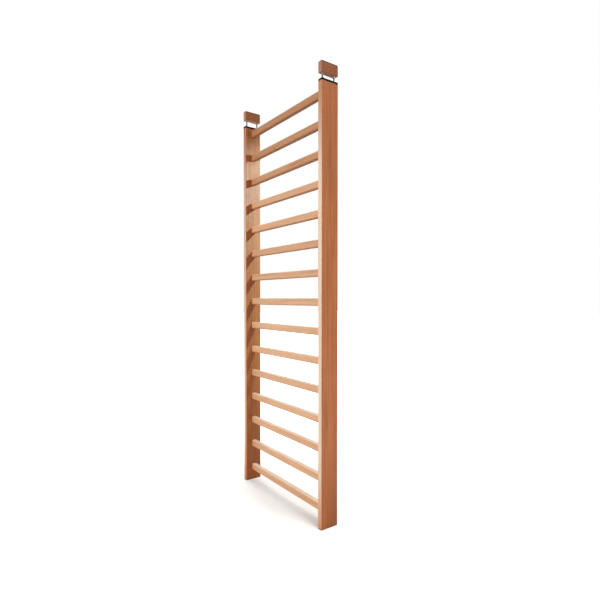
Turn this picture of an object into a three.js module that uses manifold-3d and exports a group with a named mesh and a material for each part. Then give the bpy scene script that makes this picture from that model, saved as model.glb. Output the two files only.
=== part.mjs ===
// Swedish wall bars that stand clamped between a floor and a ceiling, in millimetres, +Z up.
// The origin is on the floor, midway between the two uprights and midway through their depth.
// The front is -Y, the left upright is at -X.
// On each upright a screw jack carries a wooden block that is pressed to the ceiling: two threaded
// rods stand in the upright, and the nuts on them lift the block as they are turned.
import * as THREE from "three";
import { mergeVertices } from "three/addons/utils/BufferGeometryUtils.js";
import Module from "manifold-3d";

// Uprights
const OVERALL_WIDTH = 800;
const UPRIGHT_THICKNESS = 30;
const UPRIGHT_DEPTH = 105;
const LONG_EDGE_RADIUS = 3;

// Rungs, flat-sided with rounded edges, set between the uprights on round glued tenons
const RUNG_COUNT = 15;
const RUNG_PITCH = 152;
const BOTTOM_RUNG_HEIGHT = 80.5; // axis of the lowest rung above the floor
const TOP_RUNG_DROP = 33; // axis of the highest rung below the upright's top end
const RUNG_SET_BACK = 5; // rung axes behind the middle of the uprights' depth
const RUNG_TALL = 40;
const RUNG_DEEP = 30;
const RUNG_EDGE_RADIUS = 7;
const TENON_DIAMETER = 24;
const TENON_LENGTH = 20;
const TENON_CHAMFER = 2;
const TENON_ROOT = 6; // length of tenon that runs on inside the rung's own body
const TENON_END_GAP = 1; // room for glue at the bottom of the mortise

// Rubber pads under the uprights and on the ceiling blocks
const FOOT_PAD_THICKNESS = 3;
const CEILING_PAD_THICKNESS = 4;

// Steel plate on top of each upright, held by two countersunk wood screws
const PLATE_THICKNESS = 10;
const PLATE_EDGE_EASE = 0.6;
const SCREW_SPACING = 32;
const SCREW_LENGTH = 30;
const SCREW_DIAMETER = 4.5;
const SCREW_HEAD_DIAMETER = 9;
const SCREW_HEAD_HEIGHT = 2.6;
const SCREW_TIP_LENGTH = 6;

// Screw jack: rods, the inserts that hold them in the end grain, nuts and washers
const LEFT_JACK_GAP = 38.5; // clear height between plate and block, as each jack is set at rest
const RIGHT_JACK_GAP = 30.5;
const ROD_EDGE_DISTANCE = 16; // rod axes from the front and back faces
const ROD_DIAMETER = 8;
const ROD_SINK = 30; // depth of a rod's lower end below the upright's top end
const ROD_STAND = 57; // height of a rod's upper end above the plate
const ROD_CHAMFER = 1;
const INSERT_DIAMETER = 13;
const INSERT_LENGTH = 25;
const INSERT_SLOT_WIDTH = 2;
const INSERT_SLOT_DEPTH = 3;
const INSERT_BORE_EXTRA = 1; // bore below the rod's lower end
const NUT_SIDES = 6;
const NUT_ACROSS_FLATS = 13;
const NUT_HEIGHT = 6.5;
const NUT_FACE_DIAMETER = 12; // round face left by the corner chamfer
const NUT_CHAMFER_ANGLE = Math.PI / 6;
const WASHER_DIAMETER = 16;
const WASHER_THICKNESS = 1.6;
const WASHER_EDGE_EASE = 0.3;

// Wooden ceiling blocks, bored from below for the rods
const BLOCK_HEIGHT = 51;
const BLOCK_END_EASE = 1;
const BLOCK_ROOF = 6; // wood left above the rod bores
const ROD_BORE_CLEARANCE = 0.5;

// Clearances between pieces
const ROUND_FIT = 0.3; // round a tenon, insert, rod or screw
const SEAT_GAP = 0.1; // between flat faces that rest on each other

// Facets
const CORNER_SEGMENTS = 4; // on each rounded corner of an upright, plate, block or pad
const RUNG_CORNER_SEGMENTS = 6;
const TURNED_SEGMENTS = 24;
const JOINERY_SEGMENTS = 16; // on tenons, inserts and screws, which are hidden
const EASE_SEGMENTS = 2; // on each eased end edge
const CUT_EXCESS = 1; // cutters run this far out of the face that they open

// Finishes
const UPRIGHT_WOOD = { color: 0xb06c46, roughness: 0.45, metalness: 0 };
const RUNG_WOOD = { color: 0xd6a57d, roughness: 0.45, metalness: 0 };
const BLACK_STEEL = { color: 0x141313, roughness: 0.5, metalness: 0.3 };
const ZINC_STEEL = { color: 0x9a9d9f, roughness: 0.35, metalness: 1 };
const BRASS = { color: 0xb08d4a, roughness: 0.35, metalness: 1 };
const RUBBER = { color: 0x2a2624, roughness: 0.85, metalness: 0 };

// Levels and places that follow from the sizes
const uprightFoot = FOOT_PAD_THICKNESS + SEAT_GAP;
const uprightTop = BOTTOM_RUNG_HEIGHT + (RUNG_COUNT - 1) * RUNG_PITCH + TOP_RUNG_DROP;
const plateBottom = uprightTop + SEAT_GAP;
const plateTop = plateBottom + PLATE_THICKNESS;
const rodBottom = uprightTop - ROD_SINK;
const rodLength = plateTop + ROD_STAND - rodBottom;
const rodY = UPRIGHT_DEPTH / 2 - ROD_EDGE_DISTANCE;
const screwY = SCREW_SPACING / 2;
const uprightX = (OVERALL_WIDTH - UPRIGHT_THICKNESS) / 2;
const insideWidth = OVERALL_WIDTH - 2 * UPRIGHT_THICKNESS;
const SIDES = [
  { name: "left", sign: -1, jackGap: LEFT_JACK_GAP },
  { name: "right", sign: 1, jackGap: RIGHT_JACK_GAP },
];
const ENDS = [{ name: "front", sign: -1 }, { name: "back", sign: 1 }];

const wasm = await Module();
wasm.setup();

// Solid of a closed geometry: vertices are joined by place, collapsed triangles are dropped
function solidOf(geometry) {
  const bare = geometry.clone();
  bare.deleteAttribute("normal");
  bare.deleteAttribute("uv");
  const joined = mergeVertices(bare);
  const corners = joined.index.array;
  const kept = [];
  for (let i = 0; i < corners.length; i += 3) {
    const [a, b, c] = corners.subarray(i, i + 3);
    if (a !== b && b !== c && c !== a) kept.push(a, b, c);
  }
  const vertProperties = joined.attributes.position.array;
  const triVerts = new Uint32Array(kept);
  return new wasm.Manifold(new wasm.Mesh({ numProp: 3, vertProperties, triVerts }));
}

function geometryOf(solid) {
  const mesh = solid.getMesh();
  const geometry = new THREE.BufferGeometry();
  geometry.setAttribute("position", new THREE.BufferAttribute(mesh.vertProperties, 3));
  geometry.setIndex(new THREE.BufferAttribute(mesh.triVerts, 1));
  geometry.computeVertexNormals();
  return geometry;
}

function roundedRectangle(width, depth, radius) {
  const x = width / 2 - radius;
  const y = depth / 2 - radius;
  const outline = new THREE.Shape();
  outline.absarc(x, y, radius, 0, Math.PI / 2);
  outline.absarc(-x, y, radius, Math.PI / 2, Math.PI);
  outline.absarc(-x, -y, radius, Math.PI, 1.5 * Math.PI);
  outline.absarc(x, -y, radius, 1.5 * Math.PI, 2 * Math.PI);
  return outline;
}

// Bar with the uprights' plan outline, its end edges eased by a small bevel where ease is not 0
function uprightOutlineBar(height, ease) {
  const width = UPRIGHT_THICKNESS - 2 * ease;
  const depth = UPRIGHT_DEPTH - 2 * ease;
  const outline = roundedRectangle(width, depth, LONG_EDGE_RADIUS - ease);
  const bar = new THREE.ExtrudeGeometry(outline, {
    depth: height - 2 * ease,
    curveSegments: CORNER_SEGMENTS / 2,
    bevelEnabled: ease > 0,
    bevelThickness: ease,
    bevelSize: ease,
    bevelSegments: EASE_SEGMENTS,
  });
  return bar.translate(0, 0, ease);
}

// Solid of revolution about Z; the profile is a list of [radius, height] pairs that runs
// anticlockwise, from axis to axis or back to its own start
function turned(profile, segments = TURNED_SEGMENTS) {
  const points = profile.map(([radius, height]) => new THREE.Vector2(radius, height));
  return new THREE.LatheGeometry(points, segments).rotateX(Math.PI / 2);
}

function turnedBar(radius, length, segments) {
  return turned([[0, 0], [radius, 0], [radius, length], [0, length]], segments);
}

// Countersunk screw from its tip at height 0 up; grow widens it into the cutter for its hole
function screwProfile(grow) {
  const shank = SCREW_DIAMETER / 2 + grow;
  const head = SCREW_HEAD_DIAMETER / 2 + grow;
  return [
    [0, -grow], [shank, SCREW_TIP_LENGTH - grow], [shank, SCREW_LENGTH - SCREW_HEAD_HEIGHT],
    [head, SCREW_LENGTH], [head, SCREW_LENGTH + grow], [0, SCREW_LENGTH + grow],
  ];
}

function screwHole() {
  return turned(screwProfile(ROUND_FIT), JOINERY_SEGMENTS);
}

// Upright with a row of blind mortises in its inner face and bores for inserts and screws in its top
function uprightGeometry(side) {
  let solid = solidOf(uprightOutlineBar(uprightTop - uprightFoot, 0).translate(0, 0, uprightFoot));
  const mortiseRadius = TENON_DIAMETER / 2 + ROUND_FIT;
  const mortiseDepth = TENON_LENGTH + TENON_END_GAP;
  const insertRadius = INSERT_DIAMETER / 2 + ROUND_FIT;
  const insertDepth = ROD_SINK + INSERT_BORE_EXTRA;
  for (let i = 0; i < RUNG_COUNT; i++) {
    const mortise = turnedBar(mortiseRadius, mortiseDepth + CUT_EXCESS, JOINERY_SEGMENTS)
      .translate(0, 0, UPRIGHT_THICKNESS / 2 - mortiseDepth)
      .rotateY(-side.sign * Math.PI / 2)
      .translate(0, RUNG_SET_BACK, rungHeight(i));
    solid = solid.subtract(solidOf(mortise));
  }
  for (const end of ENDS) {
    const insertBore = turnedBar(insertRadius, insertDepth + CUT_EXCESS, JOINERY_SEGMENTS)
      .translate(0, end.sign * rodY, uprightTop - insertDepth);
    const pilot = screwHole().translate(0, end.sign * screwY, plateTop - SCREW_LENGTH);
    solid = solid.subtract(solidOf(insertBore)).subtract(solidOf(pilot));
  }
  return geometryOf(solid);
}

function rungHeight(index) {
  return BOTTOM_RUNG_HEIGHT + index * RUNG_PITCH;
}

// Bar along X with flat sides, rounded edges and a chamfered round tenon on each end
function rungGeometry() {
  const length = insideWidth - 2 * SEAT_GAP;
  const section = roundedRectangle(RUNG_TALL, RUNG_DEEP, RUNG_EDGE_RADIUS);
  const body = new THREE.ExtrudeGeometry(section, {
    depth: length,
    curveSegments: RUNG_CORNER_SEGMENTS / 2,
    bevelEnabled: false,
  }).translate(0, 0, -length / 2).rotateY(Math.PI / 2);
  let solid = solidOf(body);
  const radius = TENON_DIAMETER / 2;
  const tenonEnd = TENON_ROOT + TENON_LENGTH;
  for (const side of SIDES) {
    const tenon = turned([
      [0, 0], [radius, 0], [radius, tenonEnd - TENON_CHAMFER],
      [radius - TENON_CHAMFER, tenonEnd], [0, tenonEnd],
    ], JOINERY_SEGMENTS).translate(0, 0, length / 2 - TENON_ROOT).rotateY(side.sign * Math.PI / 2);
    solid = solid.add(solidOf(tenon));
  }
  return geometryOf(solid);
}

function plateGeometry() {
  let solid = solidOf(uprightOutlineBar(PLATE_THICKNESS, PLATE_EDGE_EASE));
  for (const end of ENDS) {
    const rodHole = turnedBar(ROD_DIAMETER / 2 + ROUND_FIT, PLATE_THICKNESS + 2 * CUT_EXCESS)
      .translate(0, end.sign * rodY, -CUT_EXCESS);
    const sink = screwHole().translate(0, end.sign * screwY, PLATE_THICKNESS - SCREW_LENGTH);
    solid = solid.subtract(solidOf(rodHole)).subtract(solidOf(sink));
  }
  return geometryOf(solid);
}

function rodGeometry() {
  const radius = ROD_DIAMETER / 2;
  return geometryOf(solidOf(turned([
    [0, 0], [radius - ROD_CHAMFER, 0], [radius, ROD_CHAMFER], [radius, rodLength - ROD_CHAMFER],
    [radius - ROD_CHAMFER, rodLength], [0, rodLength],
  ])));
}

// Insert with a driving slot across its upper end
function insertGeometry() {
  const inner = ROD_DIAMETER / 2 + ROUND_FIT;
  const outer = INSERT_DIAMETER / 2;
  const ring = turned([
    [inner, 0], [outer, 0], [outer, INSERT_LENGTH], [inner, INSERT_LENGTH], [inner, 0],
  ], JOINERY_SEGMENTS);
  const slot = new THREE.BoxGeometry(INSERT_SLOT_WIDTH, 2 * INSERT_DIAMETER, 2 * INSERT_SLOT_DEPTH)
    .translate(0, 0, INSERT_LENGTH);
  return geometryOf(solidOf(ring).subtract(solidOf(slot)));
}

// Hexagon nut: a bored hexagonal prism whose corners are turned down to a chamfer at both ends
function nutGeometry() {
  const corner = NUT_ACROSS_FLATS / 2 / Math.cos(Math.PI / NUT_SIDES);
  const hexagon = new THREE.Shape();
  hexagon.absarc(0, 0, corner, 0, 2 * Math.PI);
  const prism = new THREE.ExtrudeGeometry(hexagon, {
    depth: NUT_HEIGHT,
    curveSegments: NUT_SIDES / 2,
    bevelEnabled: false,
  });
  const face = NUT_FACE_DIAMETER / 2;
  const rim = corner + CUT_EXCESS;
  const drop = (rim - face) * Math.tan(NUT_CHAMFER_ANGLE);
  const blank = turned([
    [0, 0], [face, 0], [rim, drop], [rim, NUT_HEIGHT - drop], [face, NUT_HEIGHT], [0, NUT_HEIGHT],
  ]);
  const bore = turnedBar(ROD_DIAMETER / 2 + ROUND_FIT, NUT_HEIGHT + 2 * CUT_EXCESS)
    .translate(0, 0, -CUT_EXCESS);
  return geometryOf(solidOf(prism).intersect(solidOf(blank)).subtract(solidOf(bore)));
}

function washerGeometry() {
  const inner = ROD_DIAMETER / 2 + ROUND_FIT;
  const outer = WASHER_DIAMETER / 2;
  return geometryOf(solidOf(turned([
    [inner, 0], [outer - WASHER_EDGE_EASE, 0], [outer, WASHER_EDGE_EASE],
    [outer, WASHER_THICKNESS], [inner, WASHER_THICKNESS], [inner, 0],
  ])));
}

// Ceiling block with two blind bores that slide over the rods
function blockGeometry() {
  let solid = solidOf(uprightOutlineBar(BLOCK_HEIGHT, BLOCK_END_EASE));
  for (const end of ENDS) {
    const boreDepth = BLOCK_HEIGHT - BLOCK_ROOF;
    const bore = turnedBar(ROD_DIAMETER / 2 + ROD_BORE_CLEARANCE, boreDepth + CUT_EXCESS)
      .translate(0, end.sign * rodY, -CUT_EXCESS);
    solid = solid.subtract(solidOf(bore));
  }
  return geometryOf(solid);
}

function padGeometry(thickness, ease) {
  const outline = roundedRectangle(UPRIGHT_THICKNESS - 2 * ease, UPRIGHT_DEPTH - 2 * ease, LONG_EDGE_RADIUS);
  const pad = new THREE.ExtrudeGeometry(outline, {
    depth: thickness,
    curveSegments: CORNER_SEGMENTS / 2,
    bevelEnabled: false,
  });
  return geometryOf(solidOf(pad));
}

const wallBars = new THREE.Group();

function place(parent, name, geometry, finish, x, y, z) {
  const mesh = new THREE.Mesh(geometry, new THREE.MeshStandardMaterial(finish));
  mesh.name = name;
  mesh.position.set(x, y, z);
  parent.add(mesh);
}

const rung = rungGeometry();
for (let i = 0; i < RUNG_COUNT; i++) {
  const name = `rung_${String(i + 1).padStart(2, "0")}`;
  place(wallBars, name, rung, RUNG_WOOD, 0, RUNG_SET_BACK, rungHeight(i));
}

const plate = plateGeometry();
const screw = geometryOf(solidOf(turned(screwProfile(0), JOINERY_SEGMENTS)));
const insert = insertGeometry();
const rod = rodGeometry();
const nut = nutGeometry();
const washer = washerGeometry();
const block = blockGeometry();
const footPad = padGeometry(FOOT_PAD_THICKNESS, 0);
const ceilingPad = padGeometry(CEILING_PAD_THICKNESS, BLOCK_END_EASE);

for (const side of SIDES) {
  const blockBottom = plateTop + side.jackGap;
  const padBottom = blockBottom + BLOCK_HEIGHT + SEAT_GAP;
  const washerBottom = blockBottom - SEAT_GAP - WASHER_THICKNESS;
  const nutBottom = washerBottom - SEAT_GAP - NUT_HEIGHT;
  const stand = new THREE.Group();
  stand.position.x = side.sign * uprightX;
  wallBars.add(stand);
  place(stand, `upright_${side.name}`, uprightGeometry(side), UPRIGHT_WOOD, 0, 0, 0);
  place(stand, `foot_pad_${side.name}`, footPad, RUBBER, 0, 0, 0);
  place(stand, `top_plate_${side.name}`, plate, BLACK_STEEL, 0, 0, plateBottom);
  place(stand, `ceiling_block_${side.name}`, block, UPRIGHT_WOOD, 0, 0, blockBottom);
  place(stand, `ceiling_pad_${side.name}`, ceilingPad, RUBBER, 0, 0, padBottom);
  for (const end of ENDS) {
    const which = `${side.name}_${end.name}`;
    const atRod = end.sign * rodY;
    const atScrew = end.sign * screwY;
    place(stand, `plate_screw_${which}`, screw, ZINC_STEEL, 0, atScrew, plateTop - SCREW_LENGTH);
    place(stand, `threaded_insert_${which}`, insert, BRASS, 0, atRod, uprightTop - INSERT_LENGTH);
    place(stand, `threaded_rod_${which}`, rod, ZINC_STEEL, 0, atRod, rodBottom);
    place(stand, `jack_nut_${which}`, nut, ZINC_STEEL, 0, atRod, nutBottom);
    place(stand, `jack_washer_${which}`, washer, ZINC_STEEL, 0, atRod, washerBottom);
  }
}

export default wallBars;
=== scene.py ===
import math

import bmesh
import bpy
from mathutils import Matrix, Vector


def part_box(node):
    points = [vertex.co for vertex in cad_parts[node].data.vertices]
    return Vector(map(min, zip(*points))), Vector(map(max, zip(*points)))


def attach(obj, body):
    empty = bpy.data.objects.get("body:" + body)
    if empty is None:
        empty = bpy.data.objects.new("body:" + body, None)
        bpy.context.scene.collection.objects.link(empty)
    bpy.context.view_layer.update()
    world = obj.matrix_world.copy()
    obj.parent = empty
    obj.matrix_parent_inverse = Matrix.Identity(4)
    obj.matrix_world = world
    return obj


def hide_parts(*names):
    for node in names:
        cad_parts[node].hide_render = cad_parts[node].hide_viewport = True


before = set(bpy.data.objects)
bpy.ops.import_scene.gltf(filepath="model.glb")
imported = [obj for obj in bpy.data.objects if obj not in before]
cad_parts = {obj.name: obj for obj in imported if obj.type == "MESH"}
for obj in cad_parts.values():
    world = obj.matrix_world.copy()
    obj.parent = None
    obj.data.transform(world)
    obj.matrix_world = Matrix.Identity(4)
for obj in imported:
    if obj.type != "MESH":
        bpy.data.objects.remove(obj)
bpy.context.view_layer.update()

# Sizes in metres that the frame's boxes don't give
BOARD_EDGE_RADIUS = 0.003
BOARD_END_EASE = 0.0008
HEAD_BLOCK_EASE = 0.001
PLATE_EASE = 0.0006
RUBBER_EASE = 0.0006
BAR_EDGE_RADIUS = 0.007
TENON_RADIUS = 0.012
TENON_CHAMFER = 0.002
SHOULDER_EASE = 0.0005
SHOULDER_GAP = 0.0001
JOINT_CLEARANCE = 0.0003
MORTISE_END_GAP = 0.001
ROD_PITCH = 0.00125
ROD_ROOT_RADIUS = 0.00323
ROD_END_CHAMFER = 0.001
ROD_BORE_CLEARANCE = 0.0005
BLOCK_ROOF = 0.006
INSERT_BORE_EXTRA = 0.001
NUT_FACE_RADIUS = 0.006
NUT_CHAMFER_ANGLE = math.radians(30)
NUT_BORE_RADIUS = 0.0042
NUT_COUNTERSINK = 0.0006
WASHER_EASE = 0.0003
SCREW_PITCH = 0.002
SCREW_ROOT_RADIUS = 0.0016
SCREW_SHANK_RADIUS = 0.00225
SCREW_POINT_RADIUS = 0.0002
SCREW_HOLE_POINT_RADIUS = 0.00015
SCREW_HEAD_HEIGHT = 0.0026
SCREW_HEAD_RIM = 0.0003
SCREW_TIP = 0.006
RECESS_WIDTH = 0.0011
RECESS_REACH = 0.0046
RECESS_DEPTH = 0.0018

# Share of the pitch along a thread's flanks, and whether that point is on the root (0) or the crest (1)
THREAD_PROFILE = ((0.0, 0), (0.25, 0), (0.5625, 1), (0.6875, 1))

# Steps that round shapes are drawn with
CORNER_STEPS = 6
EASE_STEPS = 3
BAR_CORNER_STEPS = 8
ROUND_STEPS = 48
THREAD_STEPS = 24
NUT_STEPS = 48
SMOOTH_ANGLE = math.radians(32)

# How boards and blocks lay in their logs: turn about the fibre, distance to the pith, lean and start along it
BOARD_LOG = {"left": (0.35, 0.075, 0.004, 0.0), "right": (math.pi + 0.9, 0.075, 0.004, 1.3)}
BLOCK_LOG = {"left": (2.1, 0.085, 0.006, 4.1), "right": (5.0, 0.085, 0.006, 5.1)}

# The same for the bars, each of which is turned and set further along than the one below it
BAR_TURN = math.radians(137.5)
BAR_PITH = 0.03
BAR_PITH_STEP = 0.006
BAR_PITHS = 5
BAR_LEAN = 0.006
BAR_LOG_STEP = 0.83

# Wood that is darker than the rest: some of the bars, by their number from the floor, and the head blocks. On
# the top three bars and on the head blocks this darkening is painted shade; on the other bars it is the
# wood's own tone.
BAR_DARKENING = {15: 0.65, 14: 0.5, 13: 0.45, 10: 0.2, 9: 0.1, 5: 0.08}
BLOCK_DARKENING = {"left": 0.1, "right": 0.55}

# How strongly painted light makes the wood pale: a painted sheen on the front faces of boards and blocks,
# painted top light on the upper sides of bars
BOARD_SHEEN = {"left": 0.58, "right": 0.95}
BLOCK_SHEEN = 0.85
BAR_TOP_LIGHT = 0.85

SIDES = ("left", "right")
ENDS = ("front", "back")
RUNGS = sorted(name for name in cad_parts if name.startswith("rung_"))


# Mesh making

def lofted(rings, closed=False):
    """Solid through rings of equal count, capped at its ends unless it closes on itself."""
    solid = bmesh.new()
    rows = [[solid.verts.new(point) for point in ring] for ring in rings]
    pairs = list(zip(rows, rows[1:]))
    if closed:
        pairs.append((rows[-1], rows[0]))
    for low, high in pairs:
        for i in range(len(low)):
            j = (i + 1) % len(low)
            solid.faces.new((low[i], low[j], high[j], high[i]))
    if not closed:
        solid.faces.new(rows[0][::-1])
        solid.faces.new(rows[-1])
    return solid


def circle(radius, height, steps=ROUND_STEPS):
    turn = 2 * math.pi / steps
    return [Vector((radius * math.cos(i * turn), radius * math.sin(i * turn), height))
            for i in range(steps)]


def placed(solid, place):
    """Moves a whole solid by a matrix."""
    bmesh.ops.transform(solid, matrix=place, verts=solid.verts)
    return solid


def turned(profile, place, closed=False):
    """Solid turned about Z from (radius, height) pairs, then put in place."""
    return placed(lofted([circle(radius, height) for radius, height in profile], closed), place)


def rounded_ring(low, high, radius, inset, height, steps=CORNER_STEPS):
    """Rounded rectangle round Z, drawn in by inset."""
    ring = []
    reach = radius - inset
    for corner in range(4):
        x = high.x - radius if corner in (0, 3) else low.x + radius
        y = high.y - radius if corner in (0, 1) else low.y + radius
        for step in range(steps + 1):
            angle = (corner + step / steps) * math.pi / 2
            ring.append(Vector((x + reach * math.cos(angle), y + reach * math.sin(angle), height)))
    return ring


def board(low, high, radius, ease):
    """Upright bar with rounded long edges and eased end edges."""
    bottom = []
    top = []
    for step in range(EASE_STEPS + 1):
        angle = step / EASE_STEPS * math.pi / 2
        rise = ease * (1 - math.cos(angle))
        inset = ease * (1 - math.sin(angle))
        bottom.append(rounded_ring(low, high, radius, inset, low.z + rise))
        top.append(rounded_ring(low, high, radius, inset, high.z - rise))
    return lofted(bottom + top[::-1])


def threaded_bar(root, crest, pitch, start, end, ends, place):
    """Bar along Z with a helical thread that runs out over one turn at each end.

    start and end are the heights of the thread; ends holds the (radius, height) pairs of the plain
    turned rings below it and above it.
    """
    n = THREAD_STEPS
    count = (int((end - start) / pitch) - 1) * n
    last = len(THREAD_PROFILE) - 1
    solid = bmesh.new()
    rows = []
    for m in range(count + 1):
        angle = 2 * math.pi * m / n
        fade = min(1.0, m / n, (count - m) / n)
        row = []
        for share, is_crest in THREAD_PROFILE:
            radius = root + (crest - root) * is_crest * fade
            height = start + pitch * (m / n + share)
            row.append(solid.verts.new((radius * math.cos(angle), radius * math.sin(angle), height)))
        rows.append(row)
    below, above = ([[solid.verts.new(point) for point in circle(radius, height, n)]
                     for radius, height in group] for group in ends)
    # Flanks of each turn, joined to the next turn
    for m in range(count):
        for p in range(last):
            solid.faces.new((rows[m][p], rows[m + 1][p], rows[m + 1][p + 1], rows[m][p + 1]))
        if m + n < count:
            solid.faces.new((rows[m][last], rows[m + 1][last], rows[m + n + 1][0], rows[m + n][0]))
    # First and last turn, joined to the plain ends
    for k in range(n - 1):
        solid.faces.new((below[-1][k], below[-1][k + 1], rows[k + 1][0], rows[k][0]))
        m = count - n + k + 1
        solid.faces.new((rows[m][last], rows[m + 1][last], above[0][(k + 2) % n], above[0][k + 1]))
    solid.faces.new([below[-1][n - 1], below[-1][0], *rows[0], rows[n][0], rows[n - 1][0]])
    solid.faces.new([rows[count - n][last], rows[count - n + 1][last], above[0][1], above[0][0],
                     *rows[count][::-1]])
    for group in (below, above):
        for low, high in zip(group, group[1:]):
            for i in range(n):
                solid.faces.new((low[i], low[(i + 1) % n], high[(i + 1) % n], high[i]))
    solid.faces.new(below[0][::-1])
    solid.faces.new(above[-1])
    return placed(solid, place)


def new_object(name, solid):
    data = bpy.data.meshes.new(name)
    solid.to_mesh(data)
    solid.free()
    made = bpy.data.objects.new(name, data)
    bpy.context.scene.collection.objects.link(made)
    return made


def applied(made):
    """Replaces an object's mesh by what its modifiers make of it."""
    depsgraph = bpy.context.evaluated_depsgraph_get()
    plain = made.data
    name = plain.name
    made.data = bpy.data.meshes.new_from_object(made.evaluated_get(depsgraph))
    made.modifiers.clear()
    bpy.data.meshes.remove(plain)
    made.data.name = name


def cut(made, cutters):
    """Takes the cutters' solids out of an object."""
    whole = bmesh.new()
    for solid in cutters:
        data = bpy.data.meshes.new("cutter")
        solid.to_mesh(data)
        solid.free()
        whole.from_mesh(data)
        bpy.data.meshes.remove(data)
    tool = new_object("cutter", whole)
    boolean = made.modifiers.new("bores", "BOOLEAN")
    boolean.operation = "DIFFERENCE"
    boolean.solver = "EXACT"
    boolean.object = tool
    applied(made)
    bpy.data.objects.remove(tool)


def shaded(made):
    """Smooth round faces, flat plane ones and sharp edges between them."""
    made.data.shade_smooth()
    made.data.set_sharp_from_angle(angle=SMOOTH_ANGLE)
    weigh = made.modifiers.new("flat faces", "WEIGHTED_NORMAL")
    weigh.keep_sharp = True
    applied(made)


def fitted(made, finish, slot, body, *nodes):
    """Gives a piece its finish and puts it in place of the nodes that it stands for."""
    shaded(made)
    made.data.materials.clear()
    made.data.materials.append(finish)
    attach(made, body)
    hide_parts(*nodes)


def laid_in_log(made, fibre, turn, pith, lean, start, tone=0.0, painted_light_share=0.0):
    """Stores each point's place in the log that the piece was sawn from: Z along the fibre,
    the pith on the Z axis at the given distance, leaning a little to the piece.
    Also stores how much darker than usual the piece's wood is, which on the top bars and head blocks is
    painted shade, and how strongly painted light makes it paler."""
    points = made.data.vertices
    low = Vector(min(p.co[i] for p in points) for i in range(3))
    high = Vector(max(p.co[i] for p in points) for i in range(3))
    upright = Matrix.Rotation(math.radians(-90), 4, "Y") if fibre == "X" else Matrix.Identity(4)
    to_log = (
        Matrix.Rotation(lean, 4, "Y")
        @ Matrix.Translation((pith, 0, start))
        @ Matrix.Rotation(turn, 4, "Z")
        @ upright
        @ Matrix.Translation(-(low + high) / 2)
    )
    place = made.data.attributes.new("log_place", "FLOAT_VECTOR", "POINT")
    place.data.foreach_set("vector", [x for p in points for x in to_log @ p.co])
    for name, value in (("darkening", tone), ("painted_light", painted_light_share)):
        held = made.data.attributes.new(name, "FLOAT", "POINT")
        held.data.foreach_set("value", [value] * len(points))


# Shader nodes

RISING = (0.0, 1.0)
FALLING = (1.0, 0.0)

# Sockets of a Mix node for colours
MIX_FACTOR, MIX_A, MIX_B = 0, 6, 7
MIX_COLOUR = 2


def feed(tree, socket, value):
    """Sets an input to a constant, or links it to the socket that feeds it."""
    if isinstance(value, bpy.types.NodeSocket):
        tree.links.new(value, socket)
    else:
        socket.default_value = value


def add(tree, kind, inputs=None, **settings):
    """New node; an input's value is either a constant or the socket that feeds it."""
    node = tree.nodes.new("ShaderNode" + kind)
    for key, value in settings.items():
        setattr(node, key, value)
    for key, value in (inputs or {}).items():
        feed(tree, node.inputs[key], value)
    return node


def math_node(tree, operation, *values):
    return add(tree, "Math", dict(enumerate(values)), operation=operation).outputs[0]


def scaled(tree, value, share):
    return math_node(tree, "MULTIPLY", value, share)


def added(tree, value, extra, share):
    """The value plus a share of something extra."""
    return math_node(tree, "ADD", value, scaled(tree, extra, share))


def vector_node(tree, operation, *values):
    return add(tree, "VectorMath", dict(enumerate(values)), operation=operation).outputs[0]


def length_of(tree, vector):
    return add(tree, "VectorMath", {0: vector}, operation="LENGTH").outputs["Value"]


def part_of(tree, vector, axis):
    return add(tree, "SeparateXYZ", {0: vector}).outputs[axis]


def noise(tree, vector, cycles, detail=2.0, roughness=0.5):
    """Noise with its own number of cycles a metre along each axis."""
    stretched = vector_node(tree, "MULTIPLY", vector, cycles)
    inputs = {"Vector": stretched, "Scale": 1.0, "Detail": detail, "Roughness": roughness}
    return add(tree, "TexNoise", inputs).outputs


def spread(tree, value, reach, to=RISING):
    """Takes the value smoothly from one range to another and holds it at the ends."""
    inputs = {"Value": value, "From Min": reach[0], "From Max": reach[1], "To Min": to[0], "To Max": to[1]}
    return add(tree, "MapRange", inputs, interpolation_type="SMOOTHSTEP").outputs["Result"]


def mixed(tree, factor, a, b):
    inputs = {MIX_FACTOR: factor, MIX_A: a, MIX_B: b}
    return add(tree, "Mix", inputs, data_type="RGBA").outputs[MIX_COLOUR]


def blended(tree, colour, other, mask, share):
    """The colour, with a share of another one where the mask is."""
    return mixed(tree, scaled(tree, mask, share), colour, other)


def object_place(tree):
    return add(tree, "TexCoord").outputs["Object"]


def bumped(tree, height, distance, strength=1.0):
    inputs = {"Height": height, "Distance": distance, "Strength": strength}
    return add(tree, "Bump", inputs).outputs["Normal"]


# Shader node groups

def new_group(name, inputs, outputs):
    """Group with inputs of the given kinds and plain values as outputs."""
    tree = bpy.data.node_groups.new(name, "ShaderNodeTree")
    for label, kind in inputs.items():
        tree.interface.new_socket(label, in_out="INPUT", socket_type="NodeSocket" + kind)
    for label in outputs:
        tree.interface.new_socket(label, in_out="OUTPUT", socket_type="NodeSocketFloat")
    return tree, tree.nodes.new("NodeGroupInput").outputs, tree.nodes.new("NodeGroupOutput").inputs


def placed_group(tree, group, **inputs):
    node = add(tree, "Group", node_tree=group)
    for label, value in inputs.items():
        feed(tree, node.inputs[label.replace("_", " ").title()], value)
    return node.outputs


# Figure of the wood: cycles a metre twice across the fibre and once along it
DRIFT_CYCLES = (9, 9, 0.9)
STREAK_CYCLES = (110, 110, 2.4)
VEIN_CYCLES = (55, 55, 1.3)
VEIN_LENGTH_CYCLES = (35, 35, 3.5)
FIBRE_CYCLES = (650, 650, 7)
FLECK_CYCLES = (900, 2200, 110)
ACROSS_FIBRE = (1, 1, 0)

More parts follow.
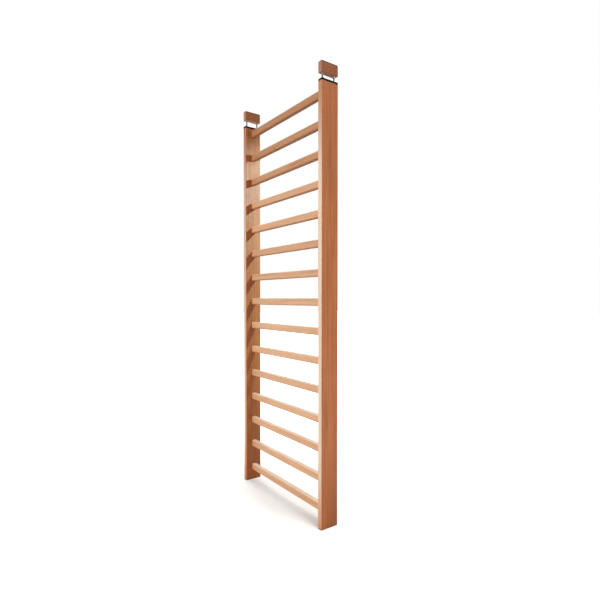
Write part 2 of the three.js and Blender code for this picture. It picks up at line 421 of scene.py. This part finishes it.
# Ranges over which its masks rise or fall
NOISE_MIDDLE = 0.5
LATE_WOOD = (0.35, 0.93)
YEAR_END = (0.95, 1.0)
YEAR_STRENGTH = (0.35, 1.0)
STREAK_RANGE = (0.3, 0.7)
VEIN_WIDTH = (0.035, 0.005)
VEIN_LENGTH_RANGE = (0.48, 0.62)
FIBRE_RANGE = (0.32, 0.68)
FLECK_RANGE = (0.60, 0.70)
TONE_RANGE = (0.3, 0.7)


def wood_grain_group():
    """Masks of a log's growth rings, broad streaks, dark veins, fibres, flecks and slow change of tone."""
    tree, given, out = new_group(
        "wood_grain",
        {"Vector": "Vector", "Ring Spacing": "Float", "Wander": "Float"},
        ["Rings", "Streaks", "Veins", "Fibres", "Flecks", "Tone"],
    )
    place = given["Vector"]
    drift = noise(tree, place, DRIFT_CYCLES)
    centred = vector_node(tree, "SUBTRACT", drift["Color"], (NOISE_MIDDLE,) * 3)
    wander = add(tree, "VectorMath", {0: centred, "Scale": given["Wander"]}, operation="SCALE").outputs[0]
    moved = vector_node(tree, "MULTIPLY", vector_node(tree, "ADD", place, wander), ACROSS_FIBRE)
    years = math_node(tree, "DIVIDE", length_of(tree, moved), given["Ring Spacing"])
    year = math_node(tree, "FRACT", years)
    ring = scaled(tree, spread(tree, year, LATE_WOOD), spread(tree, year, YEAR_END, FALLING))
    vigour = add(tree, "TexWhiteNoise", {"W": math_node(tree, "FLOOR", years)}, noise_dimensions="1D")
    rings = scaled(tree, ring, spread(tree, vigour.outputs["Value"], RISING, YEAR_STRENGTH))
    streaks = noise(tree, place, STREAK_CYCLES, detail=3.0, roughness=0.6)["Fac"]
    course = noise(tree, place, VEIN_CYCLES, detail=1.0)["Fac"]
    off_course = math_node(tree, "ABSOLUTE", math_node(tree, "SUBTRACT", course, NOISE_MIDDLE))
    breaks = noise(tree, place, VEIN_LENGTH_CYCLES, detail=1.0)["Fac"]
    lengths = spread(tree, breaks, VEIN_LENGTH_RANGE)
    fibres = noise(tree, place, FIBRE_CYCLES, detail=4.0, roughness=0.65)["Fac"]
    flecks = noise(tree, place, FLECK_CYCLES)["Fac"]
    tree.links.new(rings, out["Rings"])
    tree.links.new(spread(tree, streaks, STREAK_RANGE), out["Streaks"])
    tree.links.new(scaled(tree, spread(tree, off_course, VEIN_WIDTH), lengths), out["Veins"])
    tree.links.new(spread(tree, fibres, FIBRE_RANGE), out["Fibres"])
    tree.links.new(spread(tree, flecks, FLECK_RANGE), out["Flecks"])
    tree.links.new(spread(tree, drift["Fac"], TONE_RANGE), out["Tone"])
    return tree


BEVEL_SAMPLES = 8
EDGE_TURN = (0.99, 0.8)
EDGE_PATCHES = (0.35, 0.7)


def edge_wear_group():
    """Mask of the edges that rub first, broken up along their length."""
    tree, given, out = new_group(
        "edge_wear", {"Vector": "Vector", "Radius": "Float", "Breaks": "Float"}, ["Edge"]
    )
    rounded = add(tree, "Bevel", {"Radius": given["Radius"]}, samples=BEVEL_SAMPLES).outputs["Normal"]
    surface = add(tree, "NewGeometry").outputs["Normal"]
    same = add(tree, "VectorMath", {0: rounded, 1: surface}, operation="DOT_PRODUCT").outputs["Value"]
    broken = add(tree, "TexNoise", {"Vector": given["Vector"], "Scale": given["Breaks"], "Detail": 4.0})
    patches = spread(tree, broken.outputs["Fac"], EDGE_PATCHES)
    tree.links.new(scaled(tree, spread(tree, same, EDGE_TURN), patches), out["Edge"])
    return tree


# Where painted light makes the wood paler and painted shade makes it darker: how far a side turns to them,
# the heights in metres, and how unevenly
FRONT_TURN = (-0.5, -0.9)
FOOT_HEIGHTS = (-0.2, 0.4)
HEAD_HEIGHTS = (2.25, 1.75)
HEAD_SHEEN = (0.2, 1.0)
FRONT_CYCLES = (30, 30, 3)
FRONT_UNEVEN = (0.85, 1.0)
TOP_TURN = (0.3, 0.9)
TOP_CYCLES = (5, 40, 40)
TOP_UNEVEN = (0.6, 1.0)
UNDER_TURN = (-0.1, -0.75)
PATCH_RANGE = (0.3, 0.7)


def painted_front_sheen_group():
    """Mask of a board's front edge where a painted sheen makes it paler, less so at its foot and high up."""
    tree, given, out = new_group("painted_front_sheen", {"Vector": "Vector", "Normal": "Vector"}, ["Rubbed"])
    front = spread(tree, part_of(tree, given["Normal"], "Y"), FRONT_TURN)
    height = part_of(tree, given["Vector"], "Z")
    above_foot = spread(tree, height, FOOT_HEIGHTS)
    painted_light_part = scaled(tree, above_foot, spread(tree, height, HEAD_HEIGHTS, HEAD_SHEEN))
    patches = noise(tree, given["Vector"], FRONT_CYCLES, detail=3.0)["Fac"]
    painted_light_part = scaled(tree, painted_light_part, spread(tree, patches, PATCH_RANGE, FRONT_UNEVEN))
    tree.links.new(scaled(tree, front, painted_light_part), out["Rubbed"])
    return tree


def painted_top_light_group():
    """Mask of a bar's upper side, where painted top light makes it paler."""
    tree, given, out = new_group("painted_top_light", {"Vector": "Vector", "Normal": "Vector"}, ["Rubbed"])
    top = spread(tree, part_of(tree, given["Normal"], "Z"), TOP_TURN)
    patches = noise(tree, given["Vector"], TOP_CYCLES, detail=3.0)["Fac"]
    tree.links.new(scaled(tree, top, spread(tree, patches, PATCH_RANGE, TOP_UNEVEN)), out["Rubbed"])
    return tree


def painted_under_shade_group():
    """Mask of the sides that face down, where painted shade darkens the wood."""
    tree, given, out = new_group("painted_under_shade", {"Normal": "Vector"}, ["Under"])
    tree.links.new(spread(tree, part_of(tree, given["Normal"], "Z"), UNDER_TURN), out["Under"])
    return tree


SMUDGE_RANGE = (0.35, 0.7)
FINE_TO_BROAD = 60.0


def handling_group():
    """Mask of soft smudges that hands and cloths leave on a finish, and a fine speckle."""
    tree, given, out = new_group(
        "handling_marks", {"Vector": "Vector", "Scale": "Float"}, ["Smudge", "Fine"]
    )
    broad = add(tree, "TexNoise", {"Vector": given["Vector"], "Scale": given["Scale"], "Detail": 5.0,
                                   "Roughness": 0.6, "Distortion": 0.6})
    fine = add(tree, "TexNoise", {"Vector": given["Vector"], "Detail": 2.0,
                                  "Scale": scaled(tree, given["Scale"], FINE_TO_BROAD)})
    tree.links.new(spread(tree, broad.outputs["Fac"], SMUDGE_RANGE), out["Smudge"])
    tree.links.new(fine.outputs["Fac"], out["Fine"])
    return tree


wood_grain = wood_grain_group()
edge_wear = edge_wear_group()
painted_front_sheen = painted_front_sheen_group()
painted_top_light = painted_top_light_group()
painted_under_shade = painted_under_shade_group()
handling = handling_group()


# Finishes

# Shares of the wood's marks in its colour, its dullness and its relief
FLECK_SHARE = 0.35
EDGE_SHARE = 0.45
SMUDGE_DULL = 0.1
FIBRE_DULL = 0.06
FLECK_DEPTH = 0.8
RING_HEIGHT = 0.5
GRAIN_RELIEF = 0.00012
GRAIN_STRENGTH = 0.6


def new_finish(name, base, metallic=0.0, specular=0.5):
    """Material with a Principled shader whose constants sit on its own sockets."""
    finish = bpy.data.materials.new(name)
    finish.use_nodes = True
    tree = finish.node_tree
    shader = tree.nodes["Principled BSDF"]
    shader.inputs["Base Color"].default_value = base
    shader.inputs["Metallic"].default_value = metallic
    shader.inputs["Specular IOR Level"].default_value = specular
    return finish, tree, shader.inputs


def stored(tree, name, kind="Fac"):
    """What laid_in_log stored on the piece's points."""
    return add(tree, "Attribute", attribute_name=name).outputs[kind]


def wood_finish(name, light, dark, fleck_and_shade, worn, painted_light_colour, ring_spacing, shares, specular, dull, painted_light_mask,
                painted_shade_share, under_dull):
    """Oiled hardwood: growth rings, fibre streaks and flecks, paler on worn edges, paler where painted light
    lies on board fronts and bar tops, and darker below with painted shade, where it is also duller."""
    finish, tree, shader = new_finish(name, light, specular=specular)
    place = stored(tree, "log_place", "Vector")
    normal = add(tree, "NewGeometry").outputs["Normal"]
    grain = placed_group(tree, wood_grain, vector=place, ring_spacing=ring_spacing, wander=0.006)
    marks = placed_group(tree, handling, vector=place, scale=11.0)
    edge = placed_group(tree, edge_wear, vector=place, radius=0.0025, breaks=60.0)
    painted_light_part = placed_group(tree, painted_light_mask, vector=object_place(tree), normal=normal)
    painted_shade = placed_group(tree, painted_under_shade, normal=normal)["Under"]
    depth = stored(tree, "darkening")
    for label, share in shares.items():
        depth = added(tree, depth, grain[label], share)
    colour = mixed(tree, depth, light, dark)
    colour = blended(tree, colour, fleck_and_shade, grain["Flecks"], FLECK_SHARE)
    colour = blended(tree, colour, worn, edge["Edge"], EDGE_SHARE)
    # Painted light: board fronts get a painted sheen and bar tops painted top light, both paler
    colour = blended(tree, colour, painted_light_colour, painted_light_part["Rubbed"], stored(tree, "painted_light"))
    # Painted shade: the sides facing down are darkened towards the fleck colour
    colour = blended(tree, colour, fleck_and_shade, painted_shade, painted_shade_share)
    tree.links.new(colour, shader["Base Color"])
    rough = spread(tree, marks["Smudge"], RISING, (dull, dull + SMUDGE_DULL))
    rough = added(tree, rough, grain["Fibres"], FIBRE_DULL)
    rough = added(tree, rough, painted_shade, under_dull)
    tree.links.new(rough, shader["Roughness"])
    pits = added(tree, grain["Fibres"], grain["Flecks"], FLECK_DEPTH)
    relief = math_node(tree, "SUBTRACT", scaled(tree, grain["Rings"], RING_HEIGHT), pits)
    tree.links.new(bumped(tree, relief, GRAIN_RELIEF, GRAIN_STRENGTH), shader["Normal"])
    return finish


def surfaced(tree, shader, marks, rough, relief=None):
    """Roughness from the smudges, over a range, and a relief in metres from the fine speckle."""
    tree.links.new(spread(tree, marks["Smudge"], RISING, rough), shader["Roughness"])
    if relief is not None:
        tree.links.new(bumped(tree, marks["Fine"], relief), shader["Normal"])


def black_paint_finish():
    """Satin black paint on steel, with fine orange peel, some dust and greyer rubbed edges."""
    base = (0.006, 0.0032, 0.0018, 1)
    dusty = (0.011, 0.007, 0.005, 1)
    worn = (0.035, 0.028, 0.023, 1)
    finish, tree, shader = new_finish("black_paint", base, specular=0.03)
    place = object_place(tree)
    marks = placed_group(tree, handling, vector=place, scale=25.0)
    edge = placed_group(tree, edge_wear, vector=place, radius=0.0012, breaks=260.0)
    colour = blended(tree, base, dusty, marks["Smudge"], share=0.5)
    colour = blended(tree, colour, worn, edge["Edge"], share=0.5)
    tree.links.new(colour, shader["Base Color"])
    surfaced(tree, shader, marks, rough=(0.42, 0.62), relief=0.00006)
    return finish


def zinc_finish(name, bright, dull):
    """Zinc plating, clouded in places, with bright rubbed edges."""
    worn = (0.56, 0.55, 0.53, 1)
    finish, tree, shader = new_finish(name, bright, metallic=1.0)
    place = object_place(tree)
    marks = placed_group(tree, handling, vector=place, scale=120.0)
    edge = placed_group(tree, edge_wear, vector=place, radius=0.0005, breaks=900.0)
    colour = mixed(tree, marks["Smudge"], bright, dull)
    colour = blended(tree, colour, worn, edge["Edge"], share=0.7)
    tree.links.new(colour, shader["Base Color"])
    surfaced(tree, shader, marks, rough=(0.26, 0.46), relief=0.00001)
    return finish


def brass_finish():
    """Plain turned brass, a little tarnished."""
    base = (0.50, 0.34, 0.12, 1)
    tarnished = (0.31, 0.19, 0.07, 1)
    finish, tree, shader = new_finish("turned_brass", base, metallic=1.0)
    marks = placed_group(tree, handling, vector=object_place(tree), scale=140.0)
    tree.links.new(mixed(tree, marks["Smudge"], base, tarnished), shader["Base Color"])
    surfaced(tree, shader, marks, rough=(0.28, 0.5))
    return finish


def rubber_finish():
    """Matt dark rubber sheet with a fine speckle and dusty edges."""
    base = (0.016, 0.013, 0.011, 1)
    speckle = (0.032, 0.027, 0.023, 1)
    dusty = (0.10, 0.09, 0.08, 1)
    finish, tree, shader = new_finish("pad_rubber", base, specular=0.3)
    place = object_place(tree)
    marks = placed_group(tree, handling, vector=place, scale=40.0)
    edge = placed_group(tree, edge_wear, vector=place, radius=0.001, breaks=300.0)
    colour = mixed(tree, spread(tree, marks["Fine"], reach=(0.5, 0.7)), base, speckle)
    colour = blended(tree, colour, dusty, edge["Edge"], share=0.4)
    tree.links.new(colour, shader["Base Color"])
    surfaced(tree, shader, marks, rough=(0.75, 0.92), relief=0.0001)
    return finish


board_wood = wood_finish(
    "board_wood",
    light=(0.60, 0.20, 0.055, 1),
    dark=(0.26, 0.070, 0.014, 1),
    fleck_and_shade=(0.17, 0.05, 0.014, 1),
    worn=(0.62, 0.33, 0.18, 1),
    # colour of the painted sheen on the front faces
    painted_light_colour=(0.80, 0.60, 0.455, 1),
    ring_spacing=0.0042,
    shares={"Rings": 0.22, "Streaks": 0.42, "Veins": 0.2, "Fibres": 0.3, "Tone": 0.2},
    specular=0.45,
    dull=0.48,
    painted_light_mask=painted_front_sheen,
    painted_shade_share=0.1,
    under_dull=0.0,
)
bar_wood = wood_finish(
    "bar_wood",
    light=(0.72, 0.438, 0.254, 1),
    dark=(0.42, 0.19, 0.08, 1),
    fleck_and_shade=(0.33, 0.15, 0.07, 1),
    worn=(0.78, 0.54, 0.35, 1),
    # colour of the painted top light on the bars' upper sides
    painted_light_colour=(0.86, 0.71, 0.54, 1),
    ring_spacing=0.0035,
    shares={"Rings": 0.2, "Streaks": 0.24, "Veins": 0.3, "Fibres": 0.2, "Tone": 0.15},
    specular=0.35,
    dull=0.34,
    painted_light_mask=painted_top_light,
    # painted shade on the bars' undersides
    painted_shade_share=0.6,
    under_dull=0.4,
)
black_paint = black_paint_finish()
# The nuts and washers get a lighter copy of the same zinc plating, a painted highlight; the rods and screws
# get the plain one
highlit_zinc = zinc_finish("highlit_zinc", bright=(0.42, 0.405, 0.38, 1), dull=(0.28, 0.27, 0.25, 1))
dull_zinc = zinc_finish("dull_zinc", bright=(0.30, 0.295, 0.28, 1), dull=(0.17, 0.165, 0.155, 1))
brass = brass_finish()
rubber = rubber_finish()


# Pieces

def middle(node):
    low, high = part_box(node)
    return (low + high) / 2


def upright_place(node, height):
    """Matrix that puts a turned piece on the axis of an upright node at a height."""
    axis = middle(node)
    return Matrix.Translation((axis.x, axis.y, height))


def rod_place(side, end, height):
    return upright_place(f"threaded_rod_{side}_{end}", height)


def round_bore(node, radius, bottom, top):
    """Cutter on the axis of an upright node."""
    return turned([(radius, bottom), (radius, top)], upright_place(node, 0))


def rod_bore(side, end, clearance, bottom, top):
    """Cutter for a hole that a rod passes into."""
    rod = f"threaded_rod_{side}_{end}"
    low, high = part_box(rod)
    return round_bore(rod, (high.x - low.x) / 2 + clearance, bottom, top)


def screw_hole(side, end):
    """Cutter for a countersunk screw with its clearance, from its tip up."""
    node = f"plate_screw_{side}_{end}"
    low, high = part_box(node)
    length = high.z - low.z
    grow = JOINT_CLEARANCE
    shank = SCREW_SHANK_RADIUS + grow
    head = (high.x - low.x) / 2 + grow
    profile = [(grow + SCREW_HOLE_POINT_RADIUS, -grow), (shank, SCREW_TIP - grow),
               (shank, length - SCREW_HEAD_HEIGHT), (head, length - SCREW_HEAD_RIM), (head, length + grow)]
    return turned(profile, upright_place(node, low.z))


def side_board(side):
    """Upright board with its mortises, insert bores and screw holes."""
    node = f"upright_{side}"
    low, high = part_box(node)
    made = new_object(f"side_board_{side}", board(low, high, BOARD_EDGE_RADIUS, BOARD_END_EASE))
    inward = 1 if side == "left" else -1
    inner = high.x if side == "left" else low.x
    cutters = []
    for rung in RUNGS:
        rung_low, rung_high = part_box(rung)
        tenon_end = rung_low.x if side == "left" else rung_high.x
        depth = abs(inner - tenon_end) + MORTISE_END_GAP
        centre = (rung_low + rung_high) / 2
        place = Matrix.Translation((inner, centre.y, centre.z)) @ Matrix.Rotation(math.pi / 2, 4, "Y")
        radius = TENON_RADIUS + JOINT_CLEARANCE
        reach = sorted((-inward * depth, inward * MORTISE_END_GAP))
        cutters.append(turned([(radius, height) for height in reach], place))
    for end in ENDS:
        insert = f"threaded_insert_{side}_{end}"
        insert_low, insert_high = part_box(insert)
        rod_low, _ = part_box(f"threaded_rod_{side}_{end}")
        radius = (insert_high.x - insert_low.x) / 2 + JOINT_CLEARANCE
        cutters.append(round_bore(insert, radius, rod_low.z - INSERT_BORE_EXTRA, high.z + INSERT_BORE_EXTRA))
        cutters.append(screw_hole(side, end))
    cut(made, cutters)
    fitted(made, board_wood, "upright_wood", "frame", node)
    # The board's front face gets a painted sheen, set per side
    laid_in_log(made, "Z", *BOARD_LOG[side], painted_light_share=BOARD_SHEEN[side])


def climbing_bar(number, rung):
    """Flat-sided bar with rounded edges and a shouldered round tenon on each end."""
    low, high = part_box(rung)
    centre = (low + high) / 2
    half_size = Vector(((high.z - low.z) / 2, (high.y - low.y) / 2, 0))
    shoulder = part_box("upright_right")[0].x - centre.x - SHOULDER_GAP
    tip = high.x - centre.x

    def section(inset, x):
        return rounded_ring(-half_size, half_size, BAR_EDGE_RADIUS, inset, x, BAR_CORNER_STEPS)

    def tenon(radius, x):
        return [p.xy.normalized().to_3d() * radius + Vector((0, 0, x)) for p in section(0, x)]

    def half(way):
        return [tenon(TENON_RADIUS - TENON_CHAMFER, way * tip),
                tenon(TENON_RADIUS, way * (tip - TENON_CHAMFER)),
                tenon(TENON_RADIUS, way * shoulder),
                section(SHOULDER_EASE, way * shoulder),
                section(0, way * (shoulder - SHOULDER_EASE))]

    lying = Matrix.Translation(centre) @ Matrix.Rotation(math.pi / 2, 4, "Y")
    made = new_object(f"climbing_bar_{number:02d}", placed(lofted(half(-1) + half(1)[::-1]), lying))
    fitted(made, bar_wood, "rung_wood", "frame", rung)
    tone = BAR_DARKENING.get(number, 0.0)
    pith = BAR_PITH + BAR_PITH_STEP * (number % BAR_PITHS)
    # The bars' upper sides get painted top light, less on the darker bars
    laid_in_log(made, "X", number * BAR_TURN, pith, BAR_LEAN, BAR_LOG_STEP * number,
                tone, BAR_TOP_LIGHT * (1 - tone))


def jack_plate(side):
    """Black steel plate with two rod holes and two countersunk screw holes."""
    node = f"top_plate_{side}"
    low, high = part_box(node)
    made = new_object(f"jack_plate_{side}", board(low, high, BOARD_EDGE_RADIUS, PLATE_EASE))
    cutters = [screw_hole(side, end) for end in ENDS]
    cutters += [rod_bore(side, end, JOINT_CLEARANCE, low.z - PLATE_EASE, high.z + PLATE_EASE) for end in ENDS]
    cut(made, cutters)
    fitted(made, black_paint, "black_steel", "frame", node)


def head_block(side):
    """Wooden block with blind bores for the rods."""
    node = f"ceiling_block_{side}"
    low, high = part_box(node)
    made = new_object(f"head_block_{side}", board(low, high, BOARD_EDGE_RADIUS, HEAD_BLOCK_EASE))
    clearance = ROD_BORE_CLEARANCE
    cut(made, [rod_bore(side, end, clearance, low.z - clearance, high.z - BLOCK_ROOF) for end in ENDS])
    fitted(made, board_wood, "upright_wood", f"{side}_block", node)
    # The block's front face gets a painted sheen, and its darkening is painted shade
    laid_in_log(made, "Z", *BLOCK_LOG[side], BLOCK_DARKENING[side], BLOCK_SHEEN)


def rubber_pad(name, node, body):
    low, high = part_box(node)
    made = new_object(name, board(low, high, BOARD_EDGE_RADIUS, RUBBER_EASE))
    fitted(made, rubber, "rubber", body, node)


def brass_insert(side, end):
    """Finishes the slotted insert, whose node stays as it is; the plate hides it."""
    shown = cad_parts[f"threaded_insert_{side}_{end}"]
    shown.data.materials.clear()
    shown.data.materials.append(brass)


def threaded_stud(side, end):
    """Rod with a real thread and chamfered ends."""
    node = f"threaded_rod_{side}_{end}"
    low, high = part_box(node)
    length = high.z - low.z
    crest = (high.x - low.x) / 2
    root = ROD_ROOT_RADIUS
    chamfer = ROD_END_CHAMFER / 2
    ends = ([(root - chamfer, 0), (root, chamfer)], [(root, length - chamfer), (root - chamfer, length)])
    solid = threaded_bar(root, crest, ROD_PITCH, ROD_END_CHAMFER, length - ROD_END_CHAMFER, ends,
                         rod_place(side, end, low.z))
    made = new_object(f"threaded_stud_{side}_{end}", solid)
    fitted(made, dull_zinc, "zinc_steel", "frame", node)


def hex_nut(side, end):
    """Hexagon nut with turned corner chamfers and a countersunk bore."""
    node = f"jack_nut_{side}_{end}"
    low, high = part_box(node)
    height = high.z - low.z
    flat = (high.y - low.y) / 2
    sixth = math.pi / 3

    def hexagon(is_top):
        ring = []
        for i in range(NUT_STEPS):
            angle = 2 * math.pi * i / NUT_STEPS
            radius = flat / math.cos(angle % sixth - sixth / 2)
            drop = (radius - NUT_FACE_RADIUS) * math.tan(NUT_CHAMFER_ANGLE)
            z = height - drop if is_top else drop
            ring.append(Vector((radius * math.cos(angle), radius * math.sin(angle), z)))
        return ring

    def round_ring(radius, z):
        return circle(radius, z, NUT_STEPS)

    mouth = NUT_BORE_RADIUS + NUT_COUNTERSINK
    rings = [round_ring(mouth, 0), round_ring(NUT_FACE_RADIUS, 0), hexagon(False), hexagon(True),
             round_ring(NUT_FACE_RADIUS, height), round_ring(mouth, height),
             round_ring(NUT_BORE_RADIUS, height - NUT_COUNTERSINK),
             round_ring(NUT_BORE_RADIUS, NUT_COUNTERSINK)]
    solid = placed(lofted(rings, closed=True), rod_place(side, end, low.z))
    made = new_object(f"hex_nut_{side}_{end}", solid)
    fitted(made, highlit_zinc, "zinc_steel", f"{side}_{end}_nut", node)


def flat_washer(side, end):
    """Punched washer, eased more on its lower edge than on its upper one."""
    node = f"jack_washer_{side}_{end}"
    low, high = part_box(node)
    outer = (high.x - low.x) / 2
    inner = NUT_BORE_RADIUS
    height = high.z - low.z
    ease = WASHER_EASE
    profile = [(inner, 0), (outer - ease, 0), (outer, ease), (outer, height - ease / 2),
               (outer - ease / 2, height), (inner, height)]
    solid = turned(profile, rod_place(side, end, low.z), closed=True)
    made = new_object(f"flat_washer_{side}_{end}", solid)
    fitted(made, highlit_zinc, "zinc_steel", f"{side}_block", node)


def wood_screw(side, end):
    """Countersunk screw with a thread and a cross recess."""
    node = f"plate_screw_{side}_{end}"
    low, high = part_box(node)
    length = high.z - low.z
    head = (high.x - low.x) / 2
    neck = length - SCREW_HEAD_HEIGHT
    root = SCREW_ROOT_RADIUS
    start = SCREW_TIP / 2
    thread_end = neck - SCREW_PITCH / 2
    ends = ([(SCREW_POINT_RADIUS, 0), (root, start)],
            [(root, thread_end), (SCREW_SHANK_RADIUS, neck), (head, length - SCREW_HEAD_RIM), (head, length)])
    solid = threaded_bar(root, SCREW_SHANK_RADIUS, SCREW_PITCH, start + SCREW_PITCH / 8, thread_end, ends,
                         upright_place(node, low.z))
    made = new_object(f"wood_screw_{side}_{end}", solid)
    centre = middle(node)
    bottom = Vector((centre.x, centre.y, high.z - RECESS_DEPTH))
    top = Vector((centre.x, centre.y, high.z + RECESS_DEPTH))
    for across, along in ((RECESS_WIDTH, RECESS_REACH), (RECESS_REACH, RECESS_WIDTH)):
        corner = Vector((across / 2, along / 2, 0))
        cut(made, [board(bottom - corner, top + corner, RECESS_WIDTH / 4, RECESS_WIDTH / 8)])
    fitted(made, dull_zinc, "zinc_steel", "frame", node)


for side in SIDES:
    side_board(side)
    jack_plate(side)
    head_block(side)
    rubber_pad(f"foot_rubber_{side}", f"foot_pad_{side}", "frame")
    rubber_pad(f"head_rubber_{side}", f"ceiling_pad_{side}", f"{side}_block")
    for end in ENDS:
        brass_insert(side, end)
        threaded_stud(side, end)
        hex_nut(side, end)
        flat_washer(side, end)
        wood_screw(side, end)
for number, rung in enumerate(RUNGS, 1):
    climbing_bar(number, rung)


# Studio

WHITE = (1, 1, 1, 1)
AMBIENT = 0.20
FLOOR_REACH = 30.0
FLOOR_COLOUR = (0.61, 0.55, 0.50, 1)

# Colour that the floor shows to the wood, near the feet and far from them, and where it changes
BOUNCE_NEAR = (0.42, 0.29, 0.20, 1)
BOUNCE_FAR = (0.11, 0.082, 0.062, 1)
BOUNCE_RANGE = (0.5, 1.5)

# Where the floor turns plain white: from the line between the feet outwards
WHITE_RANGE = (0.1, 0.8)
WHITE_SHAPE = (0.4, 1, 1)

FLOOR_LIGHT_HEIGHT = 2.9
FLOOR_LIGHT_SPREAD = math.radians(50)
FLOOR_LIGHT_COLOUR = (0.72, 0.88, 1.0)

# Lamps behind the bars, for the left board's inner face and the bars' shadows on it
BEHIND = (0.6, 0.6, 2.14)
BEHIND_RADIUS = 0.025
LIT_FROM_BEHIND = "side_board_left"


def seen_directly(tree):
    """1 for rays that show the background itself or its mirror image."""
    path = add(tree, "LightPath").outputs
    seen = math_node(tree, "MAXIMUM", path["Is Camera Ray"], path["Is Glossy Ray"])
    return math_node(tree, "MAXIMUM", seen, path["Is Transmission Ray"])


def studio_world():
    """White to look at, a weak soft light to everything else."""
    world = bpy.data.worlds.new("studio")
    bpy.context.scene.world = world
    world.use_nodes = True
    tree = world.node_tree
    tree.nodes.clear()
    soft = add(tree, "Background", {"Color": WHITE, "Strength": AMBIENT})
    white = add(tree, "Background", {"Color": WHITE, "Strength": 1.0})
    either = add(tree, "MixShader", {0: seen_directly(tree), 1: soft.outputs[0], 2: white.outputs[0]})
    out = add(tree, "OutputWorld")
    tree.links.new(either.outputs[0], out.inputs["Surface"])


def studio_floor():
    """Paper that keeps the shadows near the feet, turns white away from them and gives little light back."""
    reach = FLOOR_REACH
    solid = bmesh.new()
    corners = [(-reach, -reach, 0), (reach, -reach, 0), (reach, reach, 0), (-reach, reach, 0)]
    solid.faces.new([solid.verts.new(corner) for corner in corners])
    floor = new_object("studio_floor", solid)
    finish = bpy.data.materials.new("floor_paper")
    finish.use_nodes = True
    tree = finish.node_tree
    tree.nodes.clear()
    seen = seen_directly(tree)
    place = object_place(tree)
    bounce = mixed(tree, spread(tree, length_of(tree, place), BOUNCE_RANGE), BOUNCE_NEAR, BOUNCE_FAR)
    paper = add(tree, "BsdfDiffuse", {"Color": mixed(tree, seen, bounce, FLOOR_COLOUR)})
    apart = length_of(tree, vector_node(tree, "MULTIPLY", place, WHITE_SHAPE))
    strength = scaled(tree, seen, spread(tree, apart, WHITE_RANGE))
    glow = add(tree, "Emission", {"Color": WHITE, "Strength": strength})
    both = add(tree, "AddShader", {0: paper.outputs[0], 1: glow.outputs[0]})
    out = add(tree, "OutputMaterial")
    tree.links.new(both.outputs[0], out.inputs["Surface"])
    floor.data.materials.append(finish)


def aimed(lamp, at, towards):
    made = bpy.data.objects.new(lamp.name, lamp)
    made.location = at
    made.rotation_euler = (Vector(towards) - Vector(at)).to_track_quat("-Z", "Y").to_euler()
    made.visible_camera = False
    bpy.context.scene.collection.objects.link(made)
    return made


def masked(made, part, piece):
    """Limits a lamp to one piece: as receiver the one that it reaches, as blocker the one that shades it."""
    only = bpy.data.collections.new(f"{made.name}_{part}")
    only.objects.link(bpy.data.objects[piece])
    setattr(made.light_linking, f"{part}_collection", only)


def softbox(name, at, towards, width, height, power):
    lamp = bpy.data.lights.new(name, "AREA")
    lamp.shape = "RECTANGLE"
    lamp.size = width
    lamp.size_y = height
    lamp.energy = power
    aimed(lamp, at, towards)


def light_from_behind(name, towards, cone, blend, power, colour):
    """Spotlight that reaches only one piece, with the other pieces' shadows on it."""
    lamp = bpy.data.lights.new(name, "SPOT")
    lamp.spot_size = math.radians(cone)
    lamp.spot_blend = blend
    lamp.shadow_soft_size = BEHIND_RADIUS
    lamp.energy = power
    lamp.color = colour
    masked(aimed(lamp, BEHIND, towards), "receiver", LIT_FROM_BEHIND)


def floor_light(side, x, power):
    """Wide light from one side that reaches only the floor, where only that side's board shades it."""
    lamp = bpy.data.lights.new(f"light_floor_{side}", "SUN")
    lamp.angle = FLOOR_LIGHT_SPREAD
    lamp.energy = power
    lamp.color = FLOOR_LIGHT_COLOUR
    made = aimed(lamp, (x, 0.0, FLOOR_LIGHT_HEIGHT), (0, 0, 0))
    masked(made, "receiver", "studio_floor")
    masked(made, "blocker", f"side_board_{side}")


# Camera, fitted to the edges of the bars in the photograph
PHOTO_SIDE = 600
PHOTO_CENTRE_Y = 306.9
SENSOR_WIDTH = 36.0
CAMERA_PLACE = (2.1494, -1.4411, 1.1631)
CAMERA_YAW = math.radians(54.308)
CAMERA_PITCH = math.radians(-1.07)
CAMERA_FOCUS = 449.8


def studio_camera():
    camera = bpy.data.cameras.new("camera")
    camera.sensor_width = SENSOR_WIDTH
    camera.lens = CAMERA_FOCUS / PHOTO_SIDE * SENSOR_WIDTH
    camera.shift_y = (PHOTO_CENTRE_Y - PHOTO_SIDE / 2) / PHOTO_SIDE
    made = bpy.data.objects.new("camera", camera)
    made.location = CAMERA_PLACE
    made.rotation_euler = (math.pi / 2 + CAMERA_PITCH, 0, CAMERA_YAW)
    bpy.context.scene.collection.objects.link(made)
    bpy.context.scene.camera = made


studio_world()
studio_floor()
light_from_behind("light_behind", towards=(-0.9, 0.0, 1.30), cone=68, blend=0.6, power=78.0,
                  colour=(0.62, 1.0, 1.12))
light_from_behind("light_behind_low", towards=(-0.6, 0.0, 0.9), cone=44, blend=0.9, power=22.0,
                  colour=(0.45, 1.0, 1.15))
softbox("light_front", at=(0.0, -2.9, 1.55), towards=(0.0, 0.0, 1.5), width=1.6, height=1.6, power=76.0)
softbox("light_right", at=(0.78, 0.0, 1.45), towards=(0.4, 0.0, 1.45), width=0.14, height=2.5, power=3.6)
softbox("light_rungs", at=(-0.2, 4.4, 12.0), towards=(0.0, 0.0, 0.5), width=8.0, height=8.0, power=680.0)
softbox("light_above", at=(-0.5, 0.7, 14.0), towards=(0.0, 0.0, 0.0), width=7.0, height=7.0, power=960.0)
floor_light("right", x=5.0, power=4.4)
floor_light("left", x=-5.0, power=2.8)
studio_camera()
bpy.context.scene.view_settings.view_transform = "Standard"
